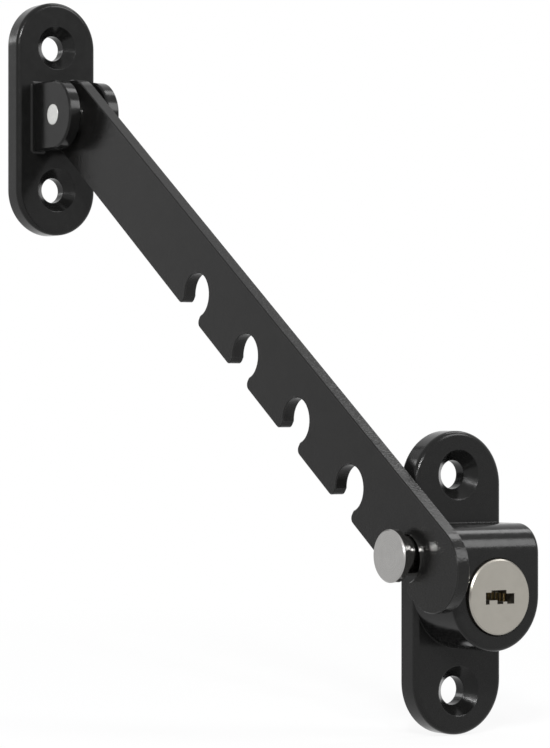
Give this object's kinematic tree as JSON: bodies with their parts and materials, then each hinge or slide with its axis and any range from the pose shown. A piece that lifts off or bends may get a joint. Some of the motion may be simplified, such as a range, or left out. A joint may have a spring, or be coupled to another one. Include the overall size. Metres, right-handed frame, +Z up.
{
  "type": "window restrictor",
  "caption": "Key-lockable window restrictor: notched flat arm hooked over a sliding locking peg on a die-cast lock plate, hinged at its far end to a pivot bracket.",
  "frame": {"origin": "centre of the lock plate's back face, midway between its two screw holes", "axes": "+Z up along the lock plate, -Y out of its front face along the key axis, +X to the right seen from the front"},
  "size_m": [0.0349, 0.1632, 0.1635],
  "materials": {
    "black_casting": "glossy black enamel on zinc casting",
    "black_arm": "satin black fine-texture powder coat",
    "satin_steel": "satin turned stainless steel",
    "satin_nickel": "satin nickel plate",
    "rivet_steel": "bright steel",
    "zinc_steel": "zinc-plated steel",
    "spring_steel": "drawn spring wire",
    "wafer_brass": "stamped brass"
  },
  "bodies": {
    "lock": {"lock_housing": "black_casting", "back_cover": "zinc_steel", "stop_pin": "zinc_steel", "peg_spring": "spring_steel"},
    "peg": {"locking_peg": "satin_steel"},
    "key_cylinder": {"key_plug": "satin_nickel", "cam": "zinc_steel", "cam_screw": "zinc_steel", "wafer_spring_1": "spring_steel", "wafer_spring_2": "spring_steel", "wafer_spring_3": "spring_steel", "wafer_spring_4": "spring_steel", "wafer_spring_5": "spring_steel"},
    "arm": {"restrictor_arm": "black_arm"},
    "bracket": {"pivot_bracket": "black_casting", "pivot_pin": "rivet_steel", "washer_left": "rivet_steel", "washer_right": "rivet_steel"},
    "wafer_slider_1": {"wafer_1": "wafer_brass"},
    "wafer_slider_2": {"wafer_2": "wafer_brass"},
    "wafer_slider_3": {"wafer_3": "wafer_brass"},
    "wafer_slider_4": {"wafer_4": "wafer_brass"},
    "wafer_slider_5": {"wafer_5": "wafer_brass"}
  },
  "joints": [
    {"name": "peg_slide", "type": "slide", "parent": "lock", "child": "peg", "axis": [-1, 0, 0], "range_m": [0, 0.005], "deforming": ["peg_spring"]},
    {"name": "key_turn", "type": "hinge", "parent": "lock", "child": "key_cylinder", "pos_m": [0, -0.012, -0.0023], "axis": [0, 1, 0], "range_deg": [0, 90]},
    {"name": "arm_swing", "type": "hinge", "parent": "lock", "child": "arm", "pos_m": [-0.01335, -0.00645, 0.00595], "axis": [1, 0, 0], "range_deg": [-37, 52]},
    {"name": "bracket_swing", "type": "hinge", "parent": "arm", "child": "bracket", "pos_m": [-0.01335, 0.12509, 0.10483], "axis": [1, 0, 0], "range_deg": [-52, 125]},
    {"name": "wafer_1_slide", "type": "slide", "parent": "key_cylinder", "child": "wafer_slider_1", "axis": [-1, 0, 0], "range_m": [0, 0.0006], "deforming": ["wafer_spring_1"]},
    {"name": "wafer_2_slide", "type": "slide", "parent": "key_cylinder", "child": "wafer_slider_2", "axis": [-1, 0, 0], "range_m": [0, 0.0006], "deforming": ["wafer_spring_2"]},
    {"name": "wafer_3_slide", "type": "slide", "parent": "key_cylinder", "child": "wafer_slider_3", "axis": [-1, 0, 0], "range_m": [0, 0.0006], "deforming": ["wafer_spring_3"]},
    {"name": "wafer_4_slide", "type": "slide", "parent": "key_cylinder", "child": "wafer_slider_4", "axis": [-1, 0, 0], "range_m": [0, 0.0006], "deforming": ["wafer_spring_4"]},
    {"name": "wafer_5_slide", "type": "slide", "parent": "key_cylinder", "child": "wafer_slider_5", "axis": [-1, 0, 0], "range_m": [0, 0.0006], "deforming": ["wafer_spring_5"]}
  ]
}
